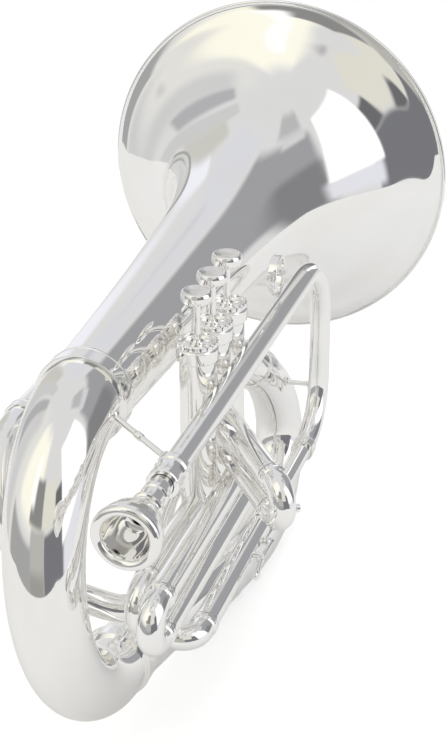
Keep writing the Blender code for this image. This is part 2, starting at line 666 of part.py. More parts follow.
def main():
    cutters = [casing_cutter(index) for index in range(3)]
    make_bell()
    make_rear_bow()
    make_cone_run()
    make_valve_bow(cutters)
    make_leadpipe()
    make_mouthpiece()
    make_tuning_slide(cutters)
    make_valve_slides(cutters)
    make_knuckles(cutters)
    for index in range(3):
        make_valve(index)
    make_braces()
    make_finger_ring()
    make_water_keys()
    make_pull_knob()


TONES = {
    "silver": ((0.90, 0.89, 0.88), 0.06, 1.0),
    "steel": ((0.55, 0.55, 0.56), 0.30, 1.0),
    "felt": ((0.86, 0.85, 0.82), 0.95, 0.0),
}

clear_scene()
horn = collection_named("baritone_horn")
helpers = collection_named("cutters")
horn_frame = bpy.data.objects.new("horn_frame", None)
horn_frame.location = (0.0, HALF_LENGTH, BELL_AXIS_HEIGHT)
horn.objects.link(horn_frame)
main()
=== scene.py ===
"""Looks of a silver-plated baritone horn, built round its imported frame.

Places are given from the middle of the bell's rim, as the frame's own shapes are, and `at` puts them in
the frame. Every tube is swept along its route, every turned piece is an outline spun round its axis.
"""

import math

import bmesh
import bpy
import numpy as np
from mathutils import Matrix, Vector


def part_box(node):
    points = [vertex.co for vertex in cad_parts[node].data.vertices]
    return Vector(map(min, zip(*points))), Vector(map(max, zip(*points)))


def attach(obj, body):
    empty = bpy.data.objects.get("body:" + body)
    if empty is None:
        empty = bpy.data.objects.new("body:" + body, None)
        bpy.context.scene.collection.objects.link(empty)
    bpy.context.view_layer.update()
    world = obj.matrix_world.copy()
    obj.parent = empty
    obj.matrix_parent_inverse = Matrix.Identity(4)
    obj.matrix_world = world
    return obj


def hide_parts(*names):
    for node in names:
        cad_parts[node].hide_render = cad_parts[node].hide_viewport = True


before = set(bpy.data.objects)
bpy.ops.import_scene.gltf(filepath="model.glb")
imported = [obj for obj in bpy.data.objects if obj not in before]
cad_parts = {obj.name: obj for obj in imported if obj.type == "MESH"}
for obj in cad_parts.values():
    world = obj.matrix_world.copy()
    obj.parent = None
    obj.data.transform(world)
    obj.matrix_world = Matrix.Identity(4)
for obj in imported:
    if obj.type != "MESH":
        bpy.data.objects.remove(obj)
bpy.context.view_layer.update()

X_AXIS, Y_AXIS, Z_AXIS = Vector((1, 0, 0)), Vector((0, 1, 0)), Vector((0, 0, 1))


def middle_of(node):
    low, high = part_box(node)
    return (low + high) / 2


# The bell's rim: its middle is where every place is counted from.
RIM_LOW, RIM_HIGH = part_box("bell_flare")
RIM_RADIUS = (RIM_HIGH.x - RIM_LOW.x) / 2
RIM_MIDDLE = Vector(((RIM_LOW.x + RIM_HIGH.x) / 2, RIM_HIGH.y, (RIM_LOW.z + RIM_HIGH.z) / 2))

# Bell: radius at each distance behind the rim.
BELL_OUTLINE = (
    (0.0024, 0.1300), (0.0044, 0.1250), (0.010, 0.117), (0.022, 0.100), (0.040, 0.083), (0.065, 0.0675),
    (0.100, 0.054), (0.150, 0.043), (0.220, 0.036), (0.300, 0.031), (0.4137, 0.0260),
)
SHEET = 0.0006
BEAD = 0.0014

# Rear bow: half an ellipse from the bell's stem down to the lower branch.
BOW_TOP_Y, BOW_STUB = -0.4177, 0.0035
BOW_DEPTH, BOW_DROP, BOW_LEAN = 0.081, 0.183, 0.014
BOW_RADIUS_TOP, BOW_RADIUS_BOTTOM = 0.0262, 0.0213

# Conical run from the rear bow round the front bow and across to the valves.
CONE_ROUTE = (
    (0.014, -0.4137, -0.183), (0.023, -0.350, -0.190), (0.033, -0.275, -0.2035), (0.040, -0.205, -0.2108),
    (0.040, -0.150, -0.200), (0.0375, -0.123, -0.167), (0.0335, -0.128, -0.131), (0.0255, -0.147, -0.103),
    (0.008, -0.168, -0.083), (-0.019, -0.191, -0.063), (-0.036, -0.235, -0.039), (-0.041, -0.320, -0.026),
    (-0.041, -0.412, -0.0215),
)
CONE_RADIUS_WIDE, CONE_RADIUS_NARROW, CONE_TAPER = 0.0212, 0.0095, 1.4
FRONT_BOW_START, FRONT_BOW_END = 2, 7

# Valve bow: from the conical run round inside the rear bow to the first valve.
VALVE_BOW_ROUTE = (
    (-0.041, -0.4125, -0.0215), (-0.041, -0.443, -0.028), (-0.034, -0.460, -0.055), (-0.025, -0.459, -0.089),
    (-0.013, -0.445, -0.115), (0.003, -0.433, -0.127), (0.019, -0.428, -0.1335), (0.031, -0.420, -0.1340),
    (0.033, -0.400, -0.125), (0.031, -0.381, -0.108), (0.032, -0.368, -0.088), (0.040, -0.3638, -0.076),
    (0.0525, -0.3638, -0.071),
)
VALVE_BOW_RADIUS_WIDE, VALVE_BOW_RADIUS_NARROW = 0.0095, 0.0078

# Cylindrical tubing.
TUBE_RADIUS, SLEEVE_RADIUS, SLEEVE_BORE, LEG_RADIUS = 0.0075, 0.0076, 0.0071, 0.0066
COLLAR_RADIUS, COLLAR_LENGTH, COLLAR_BACK = 0.0084, 0.005, 0.003

# Leadpipe, front tuning bow and main tuning slide.
LEAD_X, LEAD_Z = 0.0712, -0.0095
LEAD_BACK, LEAD_FRONT = -0.474, -0.190
TUNING_BOW_FRONT, TOP_BEND, LOW_BEND = -0.138, 0.048, 0.040
LOW_LEG_Z, LOW_LEG_FRONT = -0.145, -0.180
NECK_START, NECK_END, NECK_RADIUS = -0.295, -0.291, 0.0064
TUNING_INNER_X, TUNING_BEND_Y, TUNING_LEG_LENGTH = 0.049, -0.420, 0.085
ELBOW_RADIUS, ELBOW_FRONT, VALVE_INLET_Z = 0.016, -0.267, -0.096

# Valves, from the one next to the player.
VALVE_NAMES = ("first", "second", "third")
VALVE_AXES = [middle_of(f"{name}_valve_casing") - RIM_MIDDLE for name in VALVE_NAMES]
CASING_LOW, CASING_HIGH = (corner - RIM_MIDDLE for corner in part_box("first_valve_casing"))
CASING_RADIUS = (CASING_HIGH.x - CASING_LOW.x) / 2
CASING_BORE = 0.0101
CASING_REACH = CASING_RADIUS - 0.0003
BUTTON_LOW, BUTTON_HIGH = (corner - RIM_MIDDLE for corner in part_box("first_finger_button"))
BUTTON_RADIUS = (BUTTON_HIGH.x - BUTTON_LOW.x) / 2
CAP_LOW, CAP_HIGH = (corner - RIM_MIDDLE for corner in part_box("first_valve_top_cap"))
CAP_RADIUS = (CAP_HIGH.x - CAP_LOW.x) / 2
BOTTOM_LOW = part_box("first_valve_bottom_cap")[0] - RIM_MIDDLE

# Valve slides: bend centre, half the spacing of the legs, and how far the legs reach.
FIRST_SLIDE = (Vector((0.0523, -0.465, -0.0995)), 0.0115, 0.070)
THIRD_SLIDE = (Vector((0.0728, -0.500, -0.0855)), 0.012, 0.120)
SECOND_SLIDE = (Vector((0.1166, -0.418, -0.04675)), 0.01075, 0.070)
SECOND_SLIDE_WAY = Vector((0.596, -0.803, 0)).normalized()
THIRD_ELBOW = 0.0208
KNOB_DROP = 0.0075

# Mouthpiece rim and the receiver's two ends, as distances from the bell's rim.
MOUTHPIECE_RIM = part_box("mouthpiece")[0].y - RIM_MIDDLE.y
RECEIVER_BACK, RECEIVER_FRONT = -0.4835, -0.4625

FINGER_RING_CENTRE = Vector((0.067, -0.243, 0.0155))
FINGER_RING_RADIUS = 0.0115

# Camera: place, turn from +Y, downward tilt, roll and lens.
CAMERA_PLACE = Vector((0.3393, -1.2280, 0.4441))
CAMERA_TURN, CAMERA_TILT, CAMERA_ROLL = 17.3965, 26.1449, -0.2456
CAMERA_LENS = 81.6

# Studio: what part of the light silver gives back, the floor's half size, the lamps, and how many times
# light may be mirrored.
SILVER_SHINE = 0.94
FLOOR_REACH = 0.85
LAMP_STRENGTH, FILL_STRENGTH = 0.35, 1.6
REFLECTIONS = 14


# ---------------------------------------------------------------- shapes


def at(point):
    return RIM_MIDDLE + Vector(point)


def flowing(points, steps):
    """A curve with even curvature through the points: a natural cubic spline, `steps` to each stretch."""
    known = np.array([tuple(point) for point in points], float)
    count = len(known)
    system, right = np.zeros((count, count)), np.zeros_like(known)
    system[0, 0] = system[-1, -1] = 1
    gaps = np.maximum(np.linalg.norm(np.diff(known, axis=0), axis=1), 1e-6)
    for i in range(1, count - 1):
        system[i, i - 1:i + 2] = gaps[i - 1], 2 * (gaps[i - 1] + gaps[i]), gaps[i]
        right[i] = 6 * ((known[i + 1] - known[i]) / gaps[i] - (known[i] - known[i - 1]) / gaps[i - 1])
    second = np.linalg.solve(system, right)
    route = []
    for i, gap in enumerate(gaps):
        for step in range(steps):
            b = step / steps
            a = 1 - b
            bend_part = ((a**3 - a) * second[i] + (b**3 - b) * second[i + 1]) * gap**2 / 6
            route.append(a * known[i] + b * known[i + 1] + bend_part)
    route.append(known[-1])
    return [Vector(point) for point in route]


def eased(route, times):
    """The route with its small kinks smoothed away. Its ends stay, and what the first pass of smoothing
    draws in is put back before the second, so that the bends keep their place."""

    def smooth(points):
        points = points.copy()
        for _ in range(times):
            points[1:-1] += 0.25 * (points[:-2] - 2 * points[1:-1] + points[2:])
        return points

    points = np.array([tuple(point) for point in route])
    return [Vector(point) for point in smooth(2 * points - smooth(points))]


def straight(start, end, step=0.004):
    start, end = Vector(start), Vector(end)
    count = max(2, round((end - start).length / step) + 1)
    return [start.lerp(end, i / (count - 1)) for i in range(count)]


def arc(centre, toward, onward, radius, degrees=180, steps=28):
    """Points of an arc that starts on the `toward` side of its centre and turns to `onward`."""
    angles = [math.radians(degrees) * step / steps for step in range(steps + 1)]
    return [Vector(centre) + radius * (math.cos(a) * toward + math.sin(a) * onward) for a in angles]


def chain(*stretches):
    """Stretches of a route joined end to end, without the points that two of them share."""
    route = []
    for stretch in stretches:
        for point in stretch:
            if not route or (point - route[-1]).length > 1e-5:
                route.append(point)
    return route


def tapered(count, wide, narrow, power=1.0):
    return [wide + (narrow - wide) * (i / (count - 1)) ** power for i in range(count)]


def rounded(outline, closed):
    """The outline with every (x, y, fillet) corner turned into an arc of that radius."""
    made, count = [], len(outline)
    for i, corner in enumerate(outline):
        here = Vector(corner[:2])
        if len(corner) < 3 or (not closed and i in (0, count - 1)):
            made.append(tuple(here))
            continue
        to_last = (Vector(outline[i - 1][:2]) - here).normalized()
        to_next = (Vector(outline[(i + 1) % count][:2]) - here).normalized()
        half = to_last.angle(to_next) / 2
        if half > 1.55:
            made.append(tuple(here))
            continue
        centre = here + (to_last + to_next).normalized() * corner[2] / math.sin(half)
        start = here + to_last * corner[2] / math.tan(half) - centre
        end = here + to_next * corner[2] / math.tan(half) - centre
        steps = 5
        for step in range(steps + 1):
            spoke = start.lerp(end, step / steps)
            made.append(tuple(centre + spoke.normalized() * corner[2]))
    return made


def finished(name, work, sharp_angle=38):
    """The object made from a bmesh, with its faces out and smooth apart from its real edges."""
    bmesh.ops.recalc_face_normals(work, faces=work.faces)
    mesh = bpy.data.meshes.new(name)
    work.to_mesh(mesh)
    work.free()
    mesh.shade_smooth()
    mesh.set_sharp_from_angle(angle=math.radians(sharp_angle))
    obj = bpy.data.objects.new(name, mesh)
    bpy.context.scene.collection.objects.link(obj)
    return obj


def skin(work, rows, around=True):
    """Faces between neighbouring rows of points; a row of one point is a pole."""
    for row, onward in zip(rows, rows[1:]):
        sides = max(len(row), len(onward))
        for i in range(sides if around else sides - 1):
            j = (i + 1) % sides
            corners = [row[i % len(row)], row[j % len(row)], onward[j % len(onward)], onward[i % len(onward)]]
            unique = list(dict.fromkeys(corners))
            if len(unique) > 2:
                work.faces.new(unique)


def sweep_into(work, route, radii, bore=None, sides=36, on_casing=None):
    """Adds a tube along a route. With a bore it is open at both ends, and `on_casing` shapes its far end
    to the valve casing with that axis, and keeps the tube's last stretch out of it."""
    count = len(route)
    if not isinstance(radii, (list, tuple)):
        radii = [radii] * count
    ways = [
        (route[min(i + 1, count - 1)] - route[max(i - 1, 0)]).normalized() for i in range(count)
    ]
    side = ways[0].orthogonal().normalized()
    spokes = []
    for way in ways:
        side = (side - way * side.dot(way)).normalized()
        other = way.cross(side)
        turns = [2 * math.pi * i / sides for i in range(sides)]
        spokes.append([math.cos(a) * side + math.sin(a) * other for a in turns])

    def rows_at(sizes):
        rows = []
        for i, (place, round_it, size) in enumerate(zip(route, spokes, sizes)):
            ends = [place + size * spoke for spoke in round_it]
            if on_casing is not None and (place - route[-1]).length < CASING_RADIUS:
                moved = [i == count - 1 or within(end, on_casing) for end in ends]
                ends = [onto_casing(end, ways[i], on_casing) if move else end for end, move in zip(ends, moved)]
            rows.append([work.verts.new(at(end)) for end in ends])
        return rows

    outer = rows_at(radii)
    skin(work, outer)
    if bore is None:
        work.faces.new(outer[0])
        work.faces.new(outer[-1])
        return
    bores = bore if isinstance(bore, (list, tuple)) else [bore] * count
    inner = rows_at(bores)
    skin(work, inner)
    skin(work, [outer[0], inner[0]])
    skin(work, [outer[-1], inner[-1]])


def within(point, axis):
    return (point - axis).xy.length < CASING_REACH


def onto_casing(point, way, axis):
    """The point moved along `way` until it is just inside the wall of the casing with that axis. Where that
    way passes the casing by, it moves straight to the wall."""
    flat_way, flat = Vector((way.x, way.y)), Vector((point.x - axis.x, point.y - axis.y))
    a, b, c = flat_way.dot(flat_way), 2 * flat.dot(flat_way), flat.dot(flat) - CASING_REACH**2
    root = b * b - 4 * a * c
    if root <= 0 or a < 1e-9:
        wall = flat.normalized() * CASING_REACH
        return Vector((axis.x + wall.x, axis.y + wall.y, point.z))
    return point + way * ((-b - math.sqrt(root)) / (2 * a))


def sweep(name, route, radii, bore=None, sides=36, on_casing=None):
    work = bmesh.new()
    sweep_into(work, route, radii, bore, sides, on_casing)
    return finished(name, work)


def lathe_into(work, outline, place, way=Z_AXIS, sides=64, shape=None):
    """Adds a turned shape from (radius, height) corners. `shape` may change radius and height by angle."""
    closed = outline[0][0] > 1e-6 or outline[-1][0] > 1e-6
    points = rounded(outline, closed)
    turn = Vector(way).to_track_quat("Z", "Y")
    rows = []
    for radius, height in points:
        row = []
        for i in range(sides if radius > 1e-6 else 1):
            angle = 2 * math.pi * i / sides
            r, h = shape(radius, height, angle) if shape else (radius, height)
            local = Vector((r * math.cos(angle), r * math.sin(angle), h))
            row.append(work.verts.new(at(Vector(place) + turn @ local)))
        rows.append(row)
    skin(work, [*rows, rows[0]] if closed else rows)


def lathe(name, outline, place, way=Z_AXIS, sides=64, shape=None, sharp_angle=38):
    work = bmesh.new()
    lathe_into(work, outline, place, way, sides, shape)
    return finished(name, work, sharp_angle)


def dress(obj, material, slot, body, *nodes):
    obj.data.materials.clear()
    obj.data.materials.append(material)
    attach(obj, body)
    if nodes:
        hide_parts(*nodes)
    return obj


def silvered(obj, body, *nodes):
    return dress(obj, SILVER, "silver_plate", body, *nodes)


def shell(name, node, route, radii, sides, on_casing=None):
    """A fixed tube of sheet metal, open from end to end, that stands for a node."""
    if not isinstance(radii, list):
        radii = [radii] * len(route)
    bores = [radius - SHEET for radius in radii]
    silvered(sweep(name, route, radii, bores, sides, on_casing), "horn", node)


# ---------------------------------------------------------------- materials


def new_material(name, metallic, roughness):
    material = bpy.data.materials.new(name)
    material.use_nodes = True
    shader = material.node_tree.nodes["Principled BSDF"]
    shader.inputs["Metallic"].default_value = metallic
    shader.inputs["Roughness"].default_value = roughness
    return material, material.node_tree, shader


def noise(tree, scale, detail=3.0, stretch=(1, 1, 1)):
    """A noise in the piece's own space, in which a metre is one unit."""
    place = tree.nodes.new("ShaderNodeTexCoord")
    mapping = tree.nodes.new("ShaderNodeMapping")
    mapping.inputs["Scale"].default_value = stretch
    texture = tree.nodes.new("ShaderNodeTexNoise")
    texture.inputs["Scale"].default_value = scale
    texture.inputs["Detail"].default_value = detail
    tree.links.new(place.outputs["Object"], mapping.inputs["Vector"])
    tree.links.new(mapping.outputs["Vector"], texture.inputs["Vector"])
    return texture.outputs["Fac"]


def tint(tree, shader, factor, low, high, start=0.35, end=0.65):
    """Colours the shader from `low` to `high` as the factor goes from `start` to `end`."""
    node = tree.nodes.new("ShaderNodeValToRGB")
    node.color_ramp.elements[0].position = start
    node.color_ramp.elements[0].color = (*low, 1)
    node.color_ramp.elements[1].position = end
    node.color_ramp.elements[1].color = (*high, 1)
    tree.links.new(factor, node.inputs["Fac"])
    tree.links.new(node.outputs["Color"], shader.inputs["Base Color"])


def roughen(tree, shader, factor, low, high):
    """Lets the shader's roughness wander between `low` and `high` with the factor."""
    node = tree.nodes.new("ShaderNodeMapRange")
    node.inputs["From Min"].default_value = 0.3
    node.inputs["From Max"].default_value = 0.7
    node.inputs["To Min"].default_value = low
    node.inputs["To Max"].default_value = high
    tree.links.new(factor, node.inputs["Value"])
    tree.links.new(node.outputs["Result"], shader.inputs["Roughness"])


def bump(tree, shader, height, distance, strength=1.0):
    node = tree.nodes.new("ShaderNodeBump")
    node.inputs["Strength"].default_value = strength
    node.inputs["Distance"].default_value = distance
    tree.links.new(height, node.inputs["Height"])
    tree.links.new(node.outputs["Normal"], shader.inputs["Normal"])


def make_silver():
    """Bright silver plate: polishing haze, a breath of warm tarnish and hairline wipe marks."""
    material, tree, shader = new_material("silver_plate", 1.0, 0.05)
    tarnish = noise(tree, 14, 4.0)
    tint(tree, shader, tarnish, (0.955, 0.952, 0.948), (0.940, 0.930, 0.908), 0.40, 0.75)
    haze = noise(tree, 60, 3.0)
    roughen(tree, shader, haze, 0.030, 0.065)
    wipes = noise(tree, 900, 2.0, (1.0, 0.08, 1.0))
    bump(tree, shader, wipes, 0.000003, 0.5)
    return material


def make_satin_silver():
    """The finger buttons' tops: silver that fingers have dulled."""
    material, tree, shader = new_material("silver_satin", 1.0, 0.2)
    touch = noise(tree, 260, 4.0)
    tint(tree, shader, touch, (0.90, 0.89, 0.87), (0.84, 0.82, 0.79), 0.35, 0.70)
    roughen(tree, shader, touch, 0.14, 0.24)
    bump(tree, shader, noise(tree, 2400, 2.0), 0.00001, 0.4)
    return material


def make_nickel():
    """Lapped nickel of the pistons: fine rings round the axis."""
    material, tree, shader = new_material("nickel_plate", 1.0, 0.16)
    rings = noise(tree, 120, 3.0, (0.1, 0.1, 14.0))
    tint(tree, shader, rings, (0.70, 0.68, 0.64), (0.80, 0.78, 0.74))
    roughen(tree, shader, rings, 0.12, 0.24)
    bump(tree, shader, rings, 0.000006, 0.5)
    return material


def make_steel():
    """Drawn spring wire with die lines along it."""
    material, tree, shader = new_material("spring_steel", 1.0, 0.3)
    lines = noise(tree, 500, 3.0)
    tint(tree, shader, lines, (0.42, 0.42, 0.43), (0.58, 0.58, 0.60))
    roughen(tree, shader, lines, 0.24, 0.40)
    return material


def make_felt():
    """Pressed wool felt: soft fibres that catch a rim of light."""
    material, tree, shader = new_material("felt", 0.0, 0.95)
    fibres = noise(tree, 1400, 6.0)
    tint(tree, shader, fibres, (0.70, 0.68, 0.64), (0.88, 0.86, 0.82), 0.30, 0.70)
    shader.inputs["Sheen Weight"].default_value = 0.4
    bump(tree, shader, fibres, 0.0004, 0.8)
    return material


def make_cork():
    """Water key cork: tan grain with darker pits."""
    material, tree, shader = new_material("cork", 0.0, 0.85)
    grain = noise(tree, 1100, 5.0)
    tint(tree, shader, grain, (0.28, 0.17, 0.09), (0.62, 0.45, 0.28), 0.38, 0.58)
    bump(tree, shader, grain, 0.0003, 0.7)
    return material


SILVER = make_silver()
SATIN = make_satin_silver()
NICKEL = make_nickel()
STEEL = make_steel()
FELT = make_felt()
CORK = make_cork()


# ---------------------------------------------------------------- bell, bows and conical run


def make_bell():
    """One spun sheet: the outside from the rim back, the inside forward, and the wired bead at the rim."""
    spine = [Vector((radius, -back, 0)) for back, radius in BELL_OUTLINE]
    outside = flowing(spine, 14)
    inside = []
    for i, point in enumerate(outside):
        way = (outside[min(i + 1, len(outside) - 1)] - outside[max(i - 1, 0)]).normalized()
        inside.append(point + SHEET * way.cross(Z_AXIS))
    middle = Vector((RIM_RADIUS - BEAD, -BEAD, 0))
    turns = [math.radians(170 - 290 * i / 18) for i in range(19)]
    bead = [middle + BEAD * Vector((math.cos(a), math.sin(a), 0)) for a in turns]
    outline = [(p.x, p.y) for p in (*bead, *outside, *reversed(inside))]
    silvered(lathe("bell_shell", outline, (0, 0, 0), Y_AXIS, 192, None, 50), "horn", "bell_flare", "bell_stem")


def make_rear_bow():
    steps = 96
    route, radii = [], []
    for i in range(steps + 1):
        angle = math.pi * i / steps
        fall = (1 - math.cos(angle)) / 2
        route.append(Vector((BOW_LEAN * fall, BOW_TOP_Y - BOW_DEPTH * math.sin(angle), -BOW_DROP * fall)))
        radii.append(BOW_RADIUS_TOP + (BOW_RADIUS_BOTTOM - BOW_RADIUS_TOP) * math.sin(angle / 2))
    route = [route[0] + BOW_STUB * Y_AXIS, *route, route[-1] + BOW_STUB * Y_AXIS]
    radii = [radii[0], *radii, radii[-1]]
    shell("rear_bow_shell", "rear_bow", route, radii, 80)


def make_ferrule(name, node, centre, way, inner, outer, length):
    """A ferrule with a turned bead at each end."""
    half, bead = length / 2, 0.0016
    outline = (
        (inner, half), (outer + 0.0001, half, 0.0004), (outer + 0.0001, half - bead, 0.0004),
        (outer - 0.00025, half - bead - 0.0003), (outer - 0.00025, bead + 0.0003 - half),
        (outer + 0.0001, bead - half, 0.0004), (outer + 0.0001, -half, 0.0004), (inner, -half),
    )
    obj = lathe(name, outline, centre, way, 96)
    silvered(obj, "horn", *([node] if node else []))


def make_cone_run():
    """The lower branch, front bow and crossover branch: one taper, parted at two joints."""
    steps = 14
    route = eased(flowing(CONE_ROUTE, steps), 80)
    radii = tapered(len(route), CONE_RADIUS_WIDE, CONE_RADIUS_NARROW, CONE_TAPER)
    first, second = FRONT_BOW_START * steps, FRONT_BOW_END * steps
    spans = (
        ("lower_branch", 0, first), ("front_bow", first, second), ("crossover_branch", second, len(route) - 1),
    )
    for node, start, end in spans:
        shell(f"{node}_tube", node, route[start:end + 1], radii[start:end + 1], 64)
    for name, joint in (("front_bow_wide_ferrule", first), ("front_bow_narrow_ferrule", second)):
        way = route[joint + 1] - route[joint - 1]
        make_ferrule(name, None, route[joint], way, radii[joint] - 0.0004, radii[joint] + 0.0010, 0.009)


def make_valve_bow():
    route = eased(flowing(VALVE_BOW_ROUTE, 12), 60)
    axis = VALVE_AXES[0]
    route = [point for point in route if (point - axis).xy.length >= CASING_RADIUS]
    radii = tapered(len(route), VALVE_BOW_RADIUS_WIDE, VALVE_BOW_RADIUS_NARROW)
    shell("valve_bow_tube", "valve_bow", route, radii, 48, axis)


def make_conical_branch():
    make_bell()
    make_rear_bow()
    make_ferrule("bell_ferrule_ring", "bell_ferrule", (0, -0.4140, 0), Y_AXIS, 0.0256, 0.0283, 0.014)
    make_ferrule(
        "rear_bow_ferrule_ring", "rear_bow_ferrule", (BOW_LEAN, -0.4140, -BOW_DROP), Y_AXIS, 0.0207, 0.0232, 0.009
    )
    make_cone_run()
    make_valve_bow()
    make_ferrule(
        "valve_bow_ferrule_ring", "valve_bow_ferrule", (-0.041, -0.4120, -0.0215), Y_AXIS, 0.0090, 0.0109, 0.008
    )


# ---------------------------------------------------------------- leadpipe and slides


def make_leadpipe():
    route = straight((LEAD_X, LEAD_BACK, LEAD_Z), (LEAD_X, LEAD_FRONT, LEAD_Z), 0.01)
    shell("leadpipe_tube", "leadpipe", route, TUBE_RADIUS, 48)
    top = Vector((LEAD_X, TUNING_BOW_FRONT - TOP_BEND, LEAD_Z - TOP_BEND))
    low = Vector((LEAD_X, TUNING_BOW_FRONT - LOW_BEND, LOW_LEG_Z + LOW_BEND))
    route = chain(
        straight((LEAD_X, LEAD_FRONT, LEAD_Z), top + TOP_BEND * Z_AXIS),
        arc(top, Z_AXIS, Y_AXIS, TOP_BEND, 90, 18),
        straight(top + TOP_BEND * Y_AXIS, low + LOW_BEND * Y_AXIS),
        arc(low, Y_AXIS, -Z_AXIS, LOW_BEND, 90, 18),
        straight(low - LOW_BEND * Z_AXIS, (LEAD_X, LOW_LEG_FRONT, LOW_LEG_Z)),
    )
    route = eased(route, 12)
    shell("tuning_bow_tube", "tuning_bow", route, TUBE_RADIUS, 48)
    place = (LEAD_X, LOW_LEG_FRONT, LOW_LEG_Z)
    make_ferrule("tuning_bow_joint", None, place, Y_AXIS, NECK_RADIUS - 0.0004, TUBE_RADIUS + 0.0008, 0.010)


def slide_crook(node, body, bend_centre, way, side, half, leg_length):
    """A slide: the bow, two thin legs and the turned collar at the head of each leg."""
    work = bmesh.new()
    centre = Vector(bend_centre)
    edge, end = COLLAR_BACK, COLLAR_BACK + COLLAR_LENGTH
    bow = chain(
        straight(centre + half * side - edge * way, centre + half * side),
        arc(centre, side, way, half, 180, 32),
        straight(centre - half * side, centre - half * side - edge * way),
    )
    sweep_into(work, eased(bow, 6), SLEEVE_RADIUS, SLEEVE_RADIUS - SHEET, 48)
    for sign in (1, -1):
        head = centre + sign * half * side
        leg = straight(head - (edge + 0.001) * way, head - leg_length * way, 0.01)
        sweep_into(work, leg, LEG_RADIUS, LEG_RADIUS - SHEET, 48)
        collar = (
            (LEG_RADIUS - 0.0003, end), (COLLAR_RADIUS - 0.0003, end, 0.0002), (COLLAR_RADIUS, end - 0.0008, 0.0003),
            (COLLAR_RADIUS, edge + 0.0022, 0.0003), (COLLAR_RADIUS - 0.0005, edge + 0.0017, 0.0002),
            (COLLAR_RADIUS - 0.0001, edge + 0.0010, 0.0002), (SLEEVE_RADIUS, edge - 0.0004),
            (LEG_RADIUS - 0.0003, edge),
        )
        lathe_into(work, collar, head, -way, 48)
    return silvered(finished(f"{node}_crook", work), body, node)


def sleeve(node, route, on_casing=None, radii=SLEEVE_RADIUS, bores=SLEEVE_BORE):
    """A fixed outer tube of a slide, with the reinforcing ring round its open end."""
    work = bmesh.new()
    sweep_into(work, route, radii, bores, 48, on_casing)
    way = (route[1] - route[0]).normalized()
    ring = (
        (SLEEVE_BORE + 0.0002, 0.0), (SLEEVE_RADIUS + 0.0005, 0.0, 0.0002), (SLEEVE_RADIUS + 0.0005, 0.0030, 0.0002),
        (SLEEVE_BORE + 0.0002, 0.0034),
    )
    lathe_into(work, ring, route[0], way, 48)
    return silvered(finished(f"{node}_tube", work), "horn", node)


def make_tuning_slide():
    mouth_y = TUNING_BEND_Y + COLLAR_BACK + COLLAR_LENGTH + 0.0006
    half = (LEAD_X - TUNING_INNER_X) / 2
    centre = ((LEAD_X + TUNING_INNER_X) / 2, TUNING_BEND_Y, LOW_LEG_Z)
    slide_crook("main_tuning_slide", "main_tuning_slide", centre, -Y_AXIS, X_AXIS, half, TUNING_LEG_LENGTH)
    stops = [Vector((LEAD_X, y, LOW_LEG_Z)) for y in (mouth_y, NECK_START, NECK_END, LOW_LEG_FRONT - 0.0003)]
    route = chain(*(straight(start, end, 0.0008) for start, end in zip(stops, stops[1:])))
    radii = []
    for point in route:
        along = min(1.0, max(0.0, (point.y - NECK_START) / (NECK_END - NECK_START)))
        radii.append(SLEEVE_RADIUS + (NECK_RADIUS - SLEEVE_RADIUS) * (0.5 - 0.5 * math.cos(math.pi * along)))
    bores = [radius - SLEEVE_RADIUS + SLEEVE_BORE for radius in radii]
    sleeve("tuning_outer_sleeve", route, None, radii, bores)
    bend_y = ELBOW_FRONT - ELBOW_RADIUS
    low = Vector((TUNING_INNER_X, bend_y, LOW_LEG_Z + ELBOW_RADIUS))
    high = Vector((TUNING_INNER_X, bend_y, VALVE_INLET_Z - ELBOW_RADIUS))
    axis = VALVE_AXES[2]
    route = chain(
        straight((TUNING_INNER_X, mouth_y, LOW_LEG_Z), (TUNING_INNER_X, bend_y, LOW_LEG_Z)),
        arc(low, -Z_AXIS, Y_AXIS, ELBOW_RADIUS, 90, 14),
        straight(low + ELBOW_RADIUS * Y_AXIS, high + ELBOW_RADIUS * Y_AXIS),
        arc(high, Y_AXIS, Z_AXIS, ELBOW_RADIUS, 90, 14),
        straight((TUNING_INNER_X, bend_y, VALVE_INLET_Z), (TUNING_INNER_X, axis.y + CASING_RADIUS, VALVE_INLET_Z)),
    )
    sleeve("tuning_inner_sleeve", route, axis)


def make_valve_slides():
    back = COLLAR_BACK + COLLAR_LENGTH + 0.0006
    sides = (("upper", Z_AXIS), ("lower", -Z_AXIS))

    centre, half, reach = FIRST_SLIDE
    slide_crook("first_valve_slide", "first_valve_slide", centre, -Y_AXIS, Z_AXIS, half, reach)
    axis = VALVE_AXES[0]
    for word, side in sides:
        mouth = centre + half * side + back * Y_AXIS
        sleeve(f"first_{word}_sleeve", straight(mouth, (mouth.x, axis.y - CASING_RADIUS, mouth.z)), axis)

    centre, half, reach = SECOND_SLIDE
    way = SECOND_SLIDE_WAY
    slide_crook("second_valve_slide", "second_valve_slide", centre, way, Z_AXIS, half, reach)
    axis = VALVE_AXES[1]
    length = (centre - axis).xy.length - CASING_RADIUS
    for word, side in sides:
        head = centre + half * side
        sleeve(f"second_{word}_sleeve", straight(head - back * way, head - length * way), axis)

    centre, half, reach = THIRD_SLIDE
    slide_crook("third_valve_slide", "third_valve_slide", centre, -Y_AXIS, Z_AXIS, half, reach)
    axis = VALVE_AXES[2]
    for word, side in sides:
        mouth = centre + half * side + back * Y_AXIS
        hub = Vector((centre.x - THIRD_ELBOW, axis.y - THIRD_ELBOW, mouth.z))
        turn = arc(hub, X_AXIS, Y_AXIS, THIRD_ELBOW, 90, 22)
        reached = [point for point in turn if (point - axis).xy.length >= CASING_RADIUS]
        route = chain(straight(mouth, (mouth.x, hub.y, mouth.z)), reached)
        sleeve(f"third_{word}_sleeve", route, axis)


